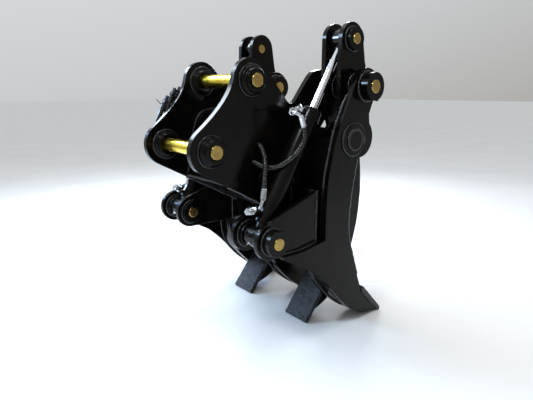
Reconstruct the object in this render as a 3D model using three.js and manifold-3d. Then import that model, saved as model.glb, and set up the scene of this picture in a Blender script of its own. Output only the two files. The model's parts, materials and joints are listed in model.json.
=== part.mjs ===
// Five-tine hydraulic grapple for an excavator, closed and standing on its tine tips.
// Millimetres, +X to the side, +Y to the back, +Z up.
// The parts are drawn about the lower hitch pin, and the last group moves the whole grapple
// so that the origin is on the ground below the middle of its box.
import * as THREE from 'three';
import { mergeVertices } from 'three/addons/utils/BufferGeometryUtils.js';
import Module from 'manifold-3d';

const wasm = await Module();
wasm.setup();

// ---------------------------------------------------------------- driving dimensions
const GAP = 0.3; // between faces that touch
const FIT = 0.6; // round a shaft or tube that passes through a plate
const FACETS = 24; // sides of a round

// Axes, as [y, z]
const LOWER_HITCH = [0, 0];
const UPPER_HITCH = [226, 306];
const MAIN_PIVOT = [740, 280];
const TORQUE_SHAFT = [652, 31];
const CYLINDER_FOOT = [160, -390];
const ROD_PIVOT = [700, 501];
const JAW_TUBE = [842, -70];
const GROUND = -962;

// Pins
const HITCH_PIN_RADIUS = 32.5;
const FOOT_PIN_RADIUS = 29;
const ROD_PIN_RADIUS = 26;
const PIN_CLEARANCE = 0.5;

// Frame
const FRAME_INNER = 192;
const FRAME_OUTER = 220;
const EAR_RADIUS = 108;
const UPPER_EAR_RADIUS = 100;
const PIVOT_ROUND = 88;
const BOSS_RADIUS = 68;
const HITCH_GAP_HALF = 160;
const HITCH_BOSS_END = 262;
const HITCH_PIN_END = 268;
const COVER_THICKNESS = 14;
const LOWER_EDGE_SLOPE = -27.9; // degrees
const UPPER_EDGE_SLOPE = -48.2;

// Fixed jaw
const OUTER_PLATE = [440.3, 470];
const INNER_PLATE = [335, 360];
const MIDDLE_PLATE = [35, 60];
const SHELL_HALF_WIDTH = 439.7;
const SHELL_THICKNESS = 16;
const SHELL_BOTTOM = -475;
const BEAM_FRONT = 440;
const BEAM_TOP = -195;
const SHAFT_RADIUS = 48;
const SHAFT_END = 486;
const BULGE_CENTRE = [706, 34];
const BULGE_RADIUS = 95;
const PIVOT_BOSS_END = 520;
const PIVOT_PIN_END = 525;

// Arms that carry the cylinder feet
const ARM_PLATES = [[242, 267], [415, 440]];
const ARM_RADIUS = 86;
const FOOT_BOSS_RADIUS = 60;

// Moving jaw
const JAW_INNER_PLATE = [180, 205];
const JAW_OUTER_PLATE = [275, 300];
const LEVER_PLATE = [378, 402];
const LEVER_ROUND = 78;
const HUB_RADIUS = 60;
const JAW_TUBE_RADIUS = 55;
const PAD_RANGE = [160, 320];
const PAD_LENGTH = 300;
const WEAR_THICKNESS = 25;
const GROUND_FLAT = 12; // worn flat on the end of a tine

// Tine box: curved strip between the plates
const STRIP_THICKNESS = 12;
const STRIP_PROUD = 12;
const STRIP_RECESS = 8;

// Cylinder, measured along its own axis from the foot pin
const CYLINDER_X = 340;
const EYE_HALF_WIDTH = 36;
const EYE_RADIUS = 52;
const BARREL_RADIUS = 45;
const BARREL_BORE = 36;
const GLAND_START = 596;
const GLAND_END = 655;
const ROD_RADIUS = 19;
const ROD_EYE_RADIUS = 54;
const ROD_EYE_CLEARANCE = 15; // the linkage is opened here, so the eye is bored large
const PISTON_AT = 300;

const HOSE_RADIUS = 10;

// ---------------------------------------------------------------- materials
const paint = new THREE.MeshStandardMaterial({ color: 0x16161a, roughness: 0.28, metalness: 0.1 });
const zincGold = new THREE.MeshStandardMaterial({ color: 0xc79a3a, roughness: 0.32, metalness: 1 });
const chrome = new THREE.MeshStandardMaterial({ color: 0xd8dade, roughness: 0.08, metalness: 1 });
const rubber = new THREE.MeshStandardMaterial({ color: 0x101010, roughness: 0.6, metalness: 0 });
const zinc = new THREE.MeshStandardMaterial({ color: 0xb8bcc0, roughness: 0.3, metalness: 1 });

// ---------------------------------------------------------------- solids
function signedVolume(geometry) {
  const p = geometry.attributes.position;
  const index = geometry.index;
  const corner = [new THREE.Vector3(), new THREE.Vector3(), new THREE.Vector3()];
  let volume = 0;
  for (let i = 0; i < index.count; i += 3) {
    corner.forEach((v, k) => v.fromBufferAttribute(p, index.getX(i + k)));
    volume += corner[0].dot(corner[1].cross(corner[2])) / 6;
  }
  return volume;
}

// One closed mesh with shared corners and its faces pointing out.
function closed(geometry) {
  geometry.deleteAttribute('normal');
  geometry.deleteAttribute('uv');
  const grid = 1000;
  const place = geometry.attributes.position.array;
  place.forEach((v, i) => { place[i] = Math.round(v * grid) / grid; });
  const merged = mergeVertices(geometry, 1 / grid);
  const whole = [];
  const at = merged.index.array;
  for (let i = 0; i < at.length; i += 3) {
    const [a, b, c] = [at[i], at[i + 1], at[i + 2]];
    if (a !== b && b !== c && c !== a) whole.push(a, b, c);
  }
  merged.setIndex(whole);
  if (signedVolume(merged) < 0) {
    merged.setIndex(whole.map((v, i) => (i % 3 === 1 ? whole[i + 1] : i % 3 === 2 ? whole[i - 1] : v)));
  }
  return merged;
}

function toManifold(geometry) {
  const mesh = new wasm.Mesh({
    numProp: 3,
    vertProperties: new Float32Array(geometry.attributes.position.array),
    triVerts: new Uint32Array(geometry.index.array),
  });
  return new wasm.Manifold(mesh);
}

function fromManifold(solid) {
  const mesh = solid.getMesh();
  const geometry = new THREE.BufferGeometry();
  geometry.setAttribute('position', new THREE.BufferAttribute(new Float32Array(mesh.vertProperties), 3));
  geometry.setIndex(Array.from(mesh.triVerts));
  return geometry;
}

function joined(...pieces) {
  const whole = pieces.map(toManifold).reduce((a, b) => a.add(b));
  return fromManifold(whole);
}

function cutBy(piece, ...tools) {
  const left = tools.map(toManifold).reduce((a, b) => a.subtract(b), toManifold(piece));
  return fromManifold(left);
}

// ---------------------------------------------------------------- outlines, as lists of [y, z]
const toPairs = (points) => points.map((p) => [p.x, p.y]);

function arc([y, z], radius, fromDegrees, toDegrees, steps = 10) {
  const [from, to] = [fromDegrees, toDegrees].map(THREE.MathUtils.degToRad);
  const curve = new THREE.EllipseCurve(y, z, radius, radius, from, to, to < from);
  return toPairs(curve.getPoints(steps));
}

function smooth(points, steps = 12) {
  const curve = new THREE.SplineCurve(points.map(([y, z]) => new THREE.Vector2(y, z)));
  return toPairs(curve.getPoints(steps));
}

const shifted = (points, dy, dz) => points.map(([y, z]) => [y + dy, z + dz]);

// Moves an open line sideways: positive is to its left.
function offset(points, distance) {
  return points.map((point, i) => {
    const before = points[Math.max(i - 1, 0)];
    const after = points[Math.min(i + 1, points.length - 1)];
    const length = Math.hypot(after[0] - before[0], after[1] - before[1]);
    const normal = [-(after[1] - before[1]) / length, (after[0] - before[0]) / length];
    return [point[0] + normal[0] * distance, point[1] + normal[1] * distance];
  });
}

// The angle, from the centre of a round, at which a line to a far point touches it.
function tangentAngle([cy, cz], radius, [py, pz], side) {
  const toward = Math.atan2(pz - cz, py - cy);
  const swing = Math.acos(radius / Math.hypot(py - cy, pz - cz));
  return THREE.MathUtils.radToDeg(toward + side * swing);
}

// ---------------------------------------------------------------- shapes across the grapple
const sideRange = (side, [near, far]) => (side > 0 ? [near, far] : [-far, -near]);

// A flat plate: an outline in the Y-Z plane, thick along X.
function plate(outline, [from, to], holes = []) {
  const edge = outline.map(([y, z]) => new THREE.Vector2(y, z));
  const shape = new THREE.Shape(THREE.ShapeUtils.isClockWise(edge) ? edge.reverse() : edge);
  for (const { at, radius } of holes) {
    const hole = new THREE.Path();
    hole.absarc(at[0], at[1], radius, 0, 2 * Math.PI, true);
    shape.holes.push(hole);
  }
  const geometry = new THREE.ExtrudeGeometry(shape, {
    depth: to - from, bevelEnabled: false, curveSegments: FACETS / 2,
  });
  const [x, y, z] = [[1, 0, 0], [0, 1, 0], [0, 0, 1]].map((v) => new THREE.Vector3(...v));
  geometry.applyMatrix4(new THREE.Matrix4().makeBasis(y, z, x));
  geometry.translate(from, 0, 0);
  return closed(geometry);
}

// A turned piece on an axis along X: its profile is a list of [radius, x].
function turned(profile, [y, z], side = 1, facets = FACETS) {
  const points = profile.map(([radius, x]) => new THREE.Vector2(radius, side * x));
  const geometry = new THREE.LatheGeometry(points, facets);
  geometry.rotateZ(-Math.PI / 2);
  geometry.translate(0, y, z);
  return closed(geometry);
}

const ring = (bore, radius, [from, to], at, side) =>
  turned([[bore, from], [radius, from], [radius, to], [bore, to], [bore, from]], at, side);

const disc = (radius, [from, to], at, side) =>
  turned([[0, from], [radius, from], [radius, to], [0, to]], at, side);

// A plate with round bosses welded to it, bored through afterwards.
function bossedPlate(outline, range, side, bosses, bores) {
  const blank = joined(plate(outline, sideRange(side, range)),
    ...bosses.map(({ at, radius, x }) => disc(radius, x, at, side)));
  return cutBy(blank, ...bores.map(({ at, radius }) => disc(radius, [0, 600], at, side)));
}

function pin(radius, [from, to], at, side = 1) {
  const chamfer = 3;
  const profile = [
    [0, from], [radius - chamfer, from], [radius, from + chamfer],
    [radius, to - chamfer], [radius - chamfer, to], [0, to],
  ];
  return turned(profile, at, side);
}

function add(group, name, geometry, material) {
  geometry.computeVertexNormals();
  const mesh = new THREE.Mesh(geometry, material);
  mesh.name = name;
  group.add(mesh);
  return mesh;
}

const SIDES = [[1, 'right'], [-1, 'left']];

// ---------------------------------------------------------------- shared lines of the jaws
const SHELL_FRONT = [[598, 39], [545, 26], [516, -49], [502, -119], [492, -196], [490, -300],
  [490, SHELL_BOTTOM]];

// Wear bar of a fixed tine: runs down its mouth edge to the ground.
const BAR_START = [772, -791];
const BAR_DIRECTION = [0.689, -0.725];
const BAR_NORMAL = [-BAR_DIRECTION[1], BAR_DIRECTION[0]];
const BAR_LENGTH = (BAR_START[1] + BAR_NORMAL[1] * GAP - GROUND) / -BAR_DIRECTION[1];
const alongBar = (distance, height) => [
  BAR_START[0] + BAR_DIRECTION[0] * distance + BAR_NORMAL[0] * height,
  BAR_START[1] + BAR_DIRECTION[1] * distance + BAR_NORMAL[1] * height,
];
const TINE_TIP = alongBar(BAR_LENGTH - 16, 0);

const TINE_MOUTH = smooth([[687, -66], [666, -160], [649, -263], [641, -377], [657, -483],
  [697, -597], [742, -712], BAR_START], 14);
const TINE_BACK = smooth([[478, -477], [487, -600], [515, -690], [560, -752], [600, -797], [650, -843],
  [718, -895], [782, -930], [847, -943], TINE_TIP], 16);

// Pad of a moving tine: its front face rises from the tip, leaning back.
const PAD_TIP = [503.7, -946.5];
const PAD_DIRECTION = [0.615, 0.788];
const alongPad = (distance, depth) => [
  PAD_TIP[0] + PAD_DIRECTION[0] * distance + PAD_DIRECTION[1] * depth,
  PAD_TIP[1] + PAD_DIRECTION[1] * distance - PAD_DIRECTION[0] * depth,
];
const PAD_HEEL = [alongPad(0, WEAR_THICKNESS)[0], GROUND];
const JAW_TIP = [540, GROUND];
const JAW_MOUTH = [
  ...smooth([[762, -98], [775, -220], [778, -350], [770, -500], [748, -625],
    alongPad(PAD_LENGTH + 8, WEAR_THICKNESS + GAP)], 10),
  alongPad(4, WEAR_THICKNESS + GAP),
  [PAD_HEEL[0] + GAP * 2, GROUND],
];
const JAW_BACK = smooth([[926, -98], [943, -264], [930, -431], [905, -540], [865, -655], [800, -770],
  [715, -862], [640, -898], [575, -918], JAW_TIP], 16);

// ---------------------------------------------------------------- frame with the hitch ears
function frameOutline() {
  const lowerStart = LOWER_EDGE_SLOPE - 90;
  const lowerSlope = Math.tan(THREE.MathUtils.degToRad(LOWER_EDGE_SLOPE));
  const lowerTangent = arc(LOWER_HITCH, EAR_RADIUS, lowerStart, lowerStart - 1, 1)[0];
  const heel = [BEAM_FRONT - GAP, lowerTangent[1] + lowerSlope * (BEAM_FRONT - GAP - lowerTangent[0])];
  const waist = new THREE.CubicBezierCurve(
    new THREE.Vector2(-66.5, 85.1), new THREE.Vector2(0, 137),
    new THREE.Vector2(112, 230), new THREE.Vector2(127, 320),
  );
  return [
    ...arc(LOWER_HITCH, EAR_RADIUS, lowerStart, -232, 12),
    ...toPairs(waist.getPoints(10)).slice(1),
    ...arc(UPPER_HITCH, UPPER_EAR_RADIUS, 168, 90 + UPPER_EDGE_SLOPE, 10),
    ...smooth([[436, 222], [452, 206], [472, 200], [500, 212], [540, 262], [598, 333], [632, 357],
      [680, 366]], 14),
    ...arc(MAIN_PIVOT, PIVOT_ROUND, 100, -40, 12),
    ...arc(TORQUE_SHAFT, SHAFT_RADIUS + FIT, 50, 160, 8),
    ...shifted(SHELL_FRONT.slice(0, 4), -GAP - 0.3, 0.6),
    [490, BEAM_TOP + GAP],
    [BEAM_FRONT - GAP, BEAM_TOP + GAP],
    heel,
  ];
}

function makeFrame() {
  const frame = new THREE.Group();
  const boreRadius = HITCH_PIN_RADIUS + PIN_CLEARANCE;
  const hosePorts = [{ at: [269, 11], radius: HOSE_RADIUS + 12 }, { at: [236, -67], radius: HOSE_RADIUS + 12 }];
  const outline = frameOutline();
  for (const [side, label] of SIDES) {
    const sheet = bossedPlate(outline, [FRAME_INNER, FRAME_OUTER], side,
      [{ at: MAIN_PIVOT, radius: BOSS_RADIUS - 2, x: [HITCH_GAP_HALF, FRAME_OUTER - 4] }],
      [
        { at: LOWER_HITCH, radius: BOSS_RADIUS + FIT },
        { at: UPPER_HITCH, radius: BOSS_RADIUS + FIT },
        { at: MAIN_PIVOT, radius: boreRadius },
        ...hosePorts,
      ]);
    add(frame, `frame_side_plate_${label}`, sheet, paint);
    for (const [axis, place] of [[LOWER_HITCH, 'lower'], [UPPER_HITCH, 'upper']]) {
      const boss = turned([
        [boreRadius, HITCH_GAP_HALF], [54, HITCH_GAP_HALF], [54, 178], [BOSS_RADIUS, 182],
        [BOSS_RADIUS, 240], [54, 244], [54, HITCH_BOSS_END], [boreRadius, HITCH_BOSS_END],
        [boreRadius, HITCH_GAP_HALF],
      ], axis, side);
      add(frame, `hitch_boss_${place}_${label}`, boss, paint);
    }
  }
  const pinRange = [-HITCH_PIN_END, HITCH_PIN_END];
  add(frame, 'hitch_pin_lower', pin(HITCH_PIN_RADIUS, pinRange, LOWER_HITCH), zincGold);
  add(frame, 'hitch_pin_upper', pin(HITCH_PIN_RADIUS, pinRange, UPPER_HITCH), zincGold);

  const between = [-FRAME_INNER + GAP, FRAME_INNER - GAP];
  const slope = Math.tan(THREE.MathUtils.degToRad(LOWER_EDGE_SLOPE));
  const floorAt = (y) => -118 + slope * y;
  const floorOutline = [[106, floorAt(106)], [BEAM_FRONT - GAP, floorAt(BEAM_FRONT)],
    [BEAM_FRONT - GAP, floorAt(BEAM_FRONT) + COVER_THICKNESS], [106, floorAt(106) + COVER_THICKNESS]];
  add(frame, 'frame_bottom_plate', plate(floorOutline, between), paint);
  const cover = smooth([[118, floorAt(118) + COVER_THICKNESS + 1], [140, -90], [152, -20], [160, 46],
    [184, 114], [226, 156], [300, 165], [400, 165], [462, 152], [508, 105], [549, 31]], 24);
  const coverOutline = [...cover, ...offset(cover, -COVER_THICKNESS).reverse()];
  add(frame, 'frame_cover_plate', plate(coverOutline, between), paint);
  return frame;
}

// ---------------------------------------------------------------- fixed jaw with three tines
function outerTineOutline() {
  return [
    ...arc(MAIN_PIVOT, PIVOT_ROUND, 136, -55, 16),
    [765, 150],
    ...arc(BULGE_CENTRE, BULGE_RADIUS, 46, -96, 12),
    ...TINE_MOUTH,
    TINE_TIP,
    [847, -943], [782, -930], [718, -895], [650, -841], [588, -778], [535, -718], [488, -667],
    [402, -590], [204, -480], [204, -467], [341, -468], [476, -446],
    ...smooth([[476, -331], [481, -191], [490, -119], [507, -49], [545, 83], [626, 241]], 10),
  ];
}

function innerTineOutline() {
  const shellBack = offset(SHELL_FRONT, SHELL_THICKNESS + GAP).slice(1);
  return [
    ...arc(TORQUE_SHAFT, 80, -50, 150, 10),
    ...arc(TORQUE_SHAFT, SHAFT_RADIUS + FIT, 158, -155, 24),
    ...shellBack,
    [478, SHELL_BOTTOM - GAP],
    ...TINE_BACK,
    ...TINE_MOUTH.slice().reverse(),
  ];
}

// The strip that closes a tine box: down the mouth, under the wear part, round the tip and
// up the back. facing is 1 when the mouth looks to +Y.
function tineStrip(mouth, underWear, back, facing) {
  const proud = offset(mouth, facing * STRIP_PROUD);
  const lining = offset(mouth, facing * (STRIP_PROUD - STRIP_THICKNESS));
  const backOuter = offset(back, facing * STRIP_RECESS);
  const backInner = offset(back, facing * (STRIP_RECESS + STRIP_THICKNESS));
  return [...proud, ...underWear, ...backOuter.reverse(), ...backInner.slice(0, -4), ...lining.reverse()];
}

function makeFixedJaw() {
  const jaw = new THREE.Group();
  const boreRadius = HITCH_PIN_RADIUS + PIN_CLEARANCE;
  const shaftHole = { at: TORQUE_SHAFT, radius: SHAFT_RADIUS + FIT };
  const outer = outerTineOutline();
  const inner = innerTineOutline();
  for (const [side, label] of SIDES) {
    const sheet = bossedPlate(outer, OUTER_PLATE, side, [
      { at: MAIN_PIVOT, radius: BOSS_RADIUS - 1, x: [OUTER_PLATE[1] - 5, PIVOT_BOSS_END] },
      { at: TORQUE_SHAFT, radius: 75, x: [OUTER_PLATE[1] - 5, OUTER_PLATE[1] + 12] },
    ], [{ at: MAIN_PIVOT, radius: boreRadius }, shaftHole]);
    add(jaw, `tine_outer_plate_${label}`, sheet, paint);
    add(jaw, `tine_inner_plate_${label}`, plate(inner, sideRange(side, INNER_PLATE)), paint);
    add(jaw, `middle_tine_plate_${label}`, plate(inner, sideRange(side, MIDDLE_PLATE)), paint);
  }

  const underBar = [alongBar(-4, -4), alongBar(BAR_LENGTH - 45, -4)];
  const strip = tineStrip(TINE_MOUTH.slice(0, -2), underBar, TINE_BACK.slice(0, -1), 1);
  const heel = alongBar(BAR_LENGTH, GAP);
  const bar = [alongBar(0, GAP), heel, [heel[0] + GROUND_FLAT, heel[1]],
    alongBar(BAR_LENGTH - 4, WEAR_THICKNESS), alongBar(0, WEAR_THICKNESS)];
  const tines = [
    ['right', [INNER_PLATE[1] + GAP, OUTER_PLATE[0] - GAP], [INNER_PLATE[0] - 5, OUTER_PLATE[1] + 4]],
    ['middle', [-MIDDLE_PLATE[0] + GAP, MIDDLE_PLATE[0] - GAP], [-MIDDLE_PLATE[1] - 12, MIDDLE_PLATE[1] + 12]],
    ['left', [-OUTER_PLATE[0] + GAP, -INNER_PLATE[1] - GAP], [-OUTER_PLATE[1] - 4, -INNER_PLATE[0] + 5]],
  ];
  for (const [label, stripRange, barRange] of tines) {
    add(jaw, `tine_strip_${label}`, plate(strip, stripRange), paint);
    add(jaw, `tine_wear_bar_${label}`, plate(bar, barRange), paint);
  }

  const shaft = disc(SHAFT_RADIUS, [-SHAFT_END, SHAFT_END], TORQUE_SHAFT, 1);
  add(jaw, 'torque_shaft', shaft, paint);

  const across = [-SHELL_HALF_WIDTH, SHELL_HALF_WIDTH];
  const shell = [...SHELL_FRONT, ...offset(SHELL_FRONT, SHELL_THICKNESS).reverse()];
  add(jaw, 'shell_plate', plate(shell, across), paint);

  const [front, back, web, flange] = [BEAM_FRONT, SHELL_FRONT[5][0] - GAP, 14, 14];
  const beam = [
    [front, SHELL_BOTTOM], [back, SHELL_BOTTOM], [back, SHELL_BOTTOM + flange],
    [front + web, SHELL_BOTTOM + flange], [front + web, BEAM_TOP - flange], [back, BEAM_TOP - flange],
    [back, BEAM_TOP], [front, BEAM_TOP],
  ];
  add(jaw, 'cross_beam', plate(beam, across), paint);

  for (const [side, label] of SIDES) {
    const pivotPin = pin(HITCH_PIN_RADIUS, [HITCH_GAP_HALF, PIVOT_PIN_END], MAIN_PIVOT, side);
    add(jaw, `main_pivot_pin_${label}`, pivotPin, zincGold);
  }
  return jaw;
}

// ---------------------------------------------------------------- arms for the cylinder feet
function makeArms() {
  const arms = new THREE.Group();
  const end = BEAM_FRONT - GAP;
  const corner = [end, BEAM_TOP - 4];
  const topAngle = tangentAngle(CYLINDER_FOOT, ARM_RADIUS, corner, 1);
  const outline = [...arc(CYLINDER_FOOT, ARM_RADIUS, -90, topAngle - 360, 18), corner,
    [end, CYLINDER_FOOT[1] - ARM_RADIUS]];
  const bore = FOOT_PIN_RADIUS + PIN_CLEARANCE;
  const bosses = [[[222, 297], 'inner'], [[383, 488], 'outer']];
  for (const [side, label] of SIDES) {
    ARM_PLATES.forEach((range, i) => {
      const [x, place] = bosses[i];
      const arm = bossedPlate(outline, range, side,
        [{ at: CYLINDER_FOOT, radius: FOOT_BOSS_RADIUS, x }], [{ at: CYLINDER_FOOT, radius: bore }]);
      add(arms, `arm_plate_${place}_${label}`, arm, paint);
    });
    const footPin = pin(FOOT_PIN_RADIUS, [218, 493], CYLINDER_FOOT, side);
    add(arms, `cylinder_foot_pin_${label}`, footPin, zincGold);
  }
  return arms;
}

// ---------------------------------------------------------------- moving jaw with two tines
function jawOuterOutline() {
  return [
    ...arc(ROD_PIVOT, LEVER_ROUND, 180, 10, 14),
    [795, 400],
    ...smooth([[826, 300], [866, 180], [897, 60]], 6),
    ...JAW_BACK,
    ...JAW_MOUTH.slice().reverse(),
    ...arc(TORQUE_SHAFT, SHAFT_RADIUS + 10, -40, 72, 8),
    [649, 139], [635, 191], [625, 240], [622, 330],
  ];
}

function jawInnerOutline() {
  return [[750, -40], [905, 10], ...JAW_BACK, ...JAW_MOUTH.slice().reverse()];
}

function leverOutline() {
  return [
    ...arc(ROD_PIVOT, LEVER_ROUND, 180, 10, 14),
    [800, 400],
    ...arc(MAIN_PIVOT, 100, 20, -30, 4),
    ...arc(MAIN_PIVOT, 158, -75, -136, 6),
    [622, 240], [619, 380],
  ];
}

function makeMovingJaw() {
  const jaw = new THREE.Group();
  const hubHole = { at: MAIN_PIVOT, radius: HUB_RADIUS + FIT };
  const pinBore = ROD_PIN_RADIUS + PIN_CLEARANCE;
  const rodHole = { at: ROD_PIVOT, radius: pinBore };
  const crossHole = { at: JAW_TUBE, radius: JAW_TUBE_RADIUS + FIT };
  const pad = [alongPad(0, 0), alongPad(PAD_LENGTH, 0), alongPad(PAD_LENGTH, WEAR_THICKNESS),
    PAD_HEEL, [PAD_HEEL[0] - GROUND_FLAT, GROUND]];
  const underPad = [alongPad(PAD_LENGTH + 4, WEAR_THICKNESS + 4), alongPad(90, WEAR_THICKNESS + 4)];
  const strip = tineStrip(JAW_MOUTH.slice(0, -4), underPad, JAW_BACK.slice(0, -2), -1);
  for (const [side, label] of SIDES) {
    const hub = ring(HITCH_PIN_RADIUS + PIN_CLEARANCE * 2, HUB_RADIUS, [FRAME_OUTER + 2, OUTER_PLATE[0] - 2],
      MAIN_PIVOT, side);
    add(jaw, `jaw_hub_${label}`, hub, paint);
    add(jaw, `jaw_outer_plate_${label}`,
      plate(jawOuterOutline(), sideRange(side, JAW_OUTER_PLATE), [hubHole, rodHole]), paint);
    add(jaw, `jaw_inner_plate_${label}`,
      plate(jawInnerOutline(), sideRange(side, JAW_INNER_PLATE), [crossHole]), paint);
    const lever = bossedPlate(leverOutline(), LEVER_PLATE, side,
      [{ at: ROD_PIVOT, radius: 54, x: [LEVER_PLATE[1] - 5, LEVER_PLATE[1] + 25] }], [hubHole, rodHole]);
    add(jaw, `jaw_lever_${label}`, lever, paint);
    const stripRange = [JAW_INNER_PLATE[1] + GAP, JAW_OUTER_PLATE[0] - GAP];
    add(jaw, `jaw_strip_${label}`, plate(strip, sideRange(side, stripRange)), paint);
    add(jaw, `jaw_pad_${label}`, plate(pad, sideRange(side, PAD_RANGE)), paint);
    add(jaw, `rod_pin_${label}`, pin(ROD_PIN_RADIUS, [277, LEVER_PLATE[1] + 30], ROD_PIVOT, side), zincGold);
  }
  const tubeEnd = JAW_OUTER_PLATE[0] - GAP;
  const tube = ring(JAW_TUBE_RADIUS - 10, JAW_TUBE_RADIUS, [-tubeEnd, tubeEnd], JAW_TUBE, 1);
  add(jaw, 'jaw_cross_tube', tube, paint);
  return jaw;
}

// ---------------------------------------------------------------- hydraulic cylinders
// Turned about the cylinder's own axis, Z: the profile is a list of [radius, z].
function turnedUp(profile, facets = FACETS) {
  const geometry = new THREE.LatheGeometry(profile.map(([r, z]) => new THREE.Vector2(r, z)), facets);
  geometry.rotateX(Math.PI / 2);
  return closed(geometry);
}

function portBoss(height) {
  const geometry = new THREE.CylinderGeometry(17, 19, 30, 20);
  geometry.translate(0, -(BARREL_RADIUS + 12), height);
  return closed(geometry);
}

function makeCylinder(side, label) {
  const [dy, dz] = [ROD_PIVOT[0] - CYLINDER_FOOT[0], ROD_PIVOT[1] - CYLINDER_FOOT[1]];
  const length = Math.hypot(dy, dz);
  const cylinder = new THREE.Group();
  cylinder.position.set(side * CYLINDER_X, ...CYLINDER_FOOT);
  cylinder.rotation.x = -Math.atan2(dy, dz);

  const tube = turnedUp([[0, 34], [34, 34], [34, 62], [BARREL_RADIUS, 66],
    [BARREL_RADIUS, GLAND_START - GAP], [BARREL_BORE, GLAND_START - GAP], [BARREL_BORE, 90], [0, 90]]);
  const eyeBlank = disc(EYE_RADIUS, [-EYE_HALF_WIDTH, EYE_HALF_WIDTH], [0, 0], 1);
  const footBore = disc(FOOT_PIN_RADIUS + PIN_CLEARANCE * 2, [-60, 60], [0, 0], 1);
  const barrel = cutBy(joined(tube, eyeBlank, portBoss(95)), footBore);
  add(cylinder, `cylinder_barrel_${label}`, barrel, paint);

  const gland = turnedUp([[0, GLAND_START], [BARREL_RADIUS + 5, GLAND_START],
    [BARREL_RADIUS + 5, GLAND_END - 8], [BARREL_RADIUS, GLAND_END], [0, GLAND_END]]);
  const port = portBoss(GLAND_START + 22);
  const bore = turnedUp([[0, GLAND_START - 5], [ROD_RADIUS + 0.5, GLAND_START - 5],
    [ROD_RADIUS + 0.5, GLAND_END + 5], [0, GLAND_END + 5]]);
  add(cylinder, `cylinder_gland_${label}`, cutBy(joined(gland, port), bore), paint);

  const rodBore = ROD_PIN_RADIUS + ROD_EYE_CLEARANCE;
  const rodTop = length - rodBore - 4;
  const shaft = turnedUp([[0, PISTON_AT], [BARREL_BORE - 0.5, PISTON_AT], [BARREL_BORE - 0.5, PISTON_AT + 45],
    [ROD_RADIUS, PISTON_AT + 45], [ROD_RADIUS, rodTop], [0, rodTop]]);
  const rodEye = ring(rodBore, ROD_EYE_RADIUS, [-EYE_HALF_WIDTH, EYE_HALF_WIDTH], [0, length], 1);
  add(cylinder, `cylinder_rod_${label}`, joined(shaft, rodEye), chrome);
  return cylinder;
}

// ---------------------------------------------------------------- hoses
// Routes on the right-hand side, as [x, y, z], from the cylinder port to the manifold block.
const LOWER_HOSE = [[332, 203, -212], [328, 209, -188], [322, 214, -160], [312, 226, -117],
  [300, 238, -72], [276, 253, -38], [246, 264, -8], [222, 269, 11], [188, 272, 16], [150, 292, 42],
  [112, 322, 76], [88, 334, 88], [61, 335, 90]];
const UPPER_HOSE = [[388, 380, 136], [389, 388, 112], [390, 395, 84], [392, 396, 56], [394, 381, 22],
  [391, 351, -14], [379, 315, -46], [354, 286, -72], [316, 270, -86], [284, 262, -88],
  [252, 247, -78], [224, 238, -68], [188, 240, -64], [150, 272, -26], [116, 330, 54],
  [90, 366, 88], [61, 368, 90]];

function hose(points) {
  const path = new THREE.CatmullRomCurve3(points.map((p) => new THREE.Vector3(...p)));
  const section = new THREE.Shape();
  section.absarc(0, 0, HOSE_RADIUS, 0, 2 * Math.PI, false);
  const steps = Math.round(path.getLength() / (HOSE_RADIUS * 2.2));
  return closed(new THREE.ExtrudeGeometry(section, { steps, curveSegments: 4, extrudePath: path }));
}

function makeHydraulics() {
  const hydraulics = new THREE.Group();
  for (const [side, label] of SIDES) {
    for (const [route, place] of [[LOWER_HOSE, 'lower'], [UPPER_HOSE, 'upper']]) {
      const points = route.map(([x, y, z]) => [side * x, y, z]);
      add(hydraulics, `hose_${place}_${label}`, hose(points), rubber);
    }
  }
  const block = new THREE.BoxGeometry(120, 80, 90);
  block.translate(0, 350, 165 - COVER_THICKNESS - 1 - 45);
  add(hydraulics, 'manifold_block', closed(block), zinc);
  return hydraulics;
}

// ---------------------------------------------------------------- whole grapple
const grapple = new THREE.Group();
grapple.add(makeFrame(), makeFixedJaw(), makeArms(), makeMovingJaw(), makeHydraulics());
for (const [side, label] of SIDES) grapple.add(makeCylinder(side, label));

const backmost = alongBar(BAR_LENGTH - 4, WEAR_THICKNESS)[0];
const middleOfDepth = (backmost - EAR_RADIUS) / 2;
grapple.position.set(0, -middleOfDepth, -GROUND);
grapple.updateMatrixWorld(true);

export default grapple;
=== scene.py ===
"""Looks of a five-tine hydraulic grapple: paint, plating, welds, fittings and hoses on the CAD frame."""
import json
import math
import random

import bpy
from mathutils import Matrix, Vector


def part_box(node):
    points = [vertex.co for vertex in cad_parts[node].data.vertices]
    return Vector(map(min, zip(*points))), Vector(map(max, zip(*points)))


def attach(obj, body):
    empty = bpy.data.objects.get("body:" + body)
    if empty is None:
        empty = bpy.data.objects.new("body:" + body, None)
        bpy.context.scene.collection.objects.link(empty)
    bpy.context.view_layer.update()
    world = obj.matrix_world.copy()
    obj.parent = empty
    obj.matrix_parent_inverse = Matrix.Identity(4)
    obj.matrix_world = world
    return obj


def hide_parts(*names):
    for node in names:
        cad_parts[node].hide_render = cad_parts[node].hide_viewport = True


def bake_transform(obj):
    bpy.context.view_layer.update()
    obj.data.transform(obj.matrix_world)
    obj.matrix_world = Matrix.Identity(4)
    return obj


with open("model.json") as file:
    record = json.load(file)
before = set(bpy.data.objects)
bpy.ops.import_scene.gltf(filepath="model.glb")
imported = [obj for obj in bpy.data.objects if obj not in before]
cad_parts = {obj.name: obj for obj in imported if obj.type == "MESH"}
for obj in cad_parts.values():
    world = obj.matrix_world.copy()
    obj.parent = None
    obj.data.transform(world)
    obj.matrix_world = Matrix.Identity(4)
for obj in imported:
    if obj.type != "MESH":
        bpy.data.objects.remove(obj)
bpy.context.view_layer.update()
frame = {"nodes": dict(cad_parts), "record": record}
rng = random.Random(7)


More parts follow.
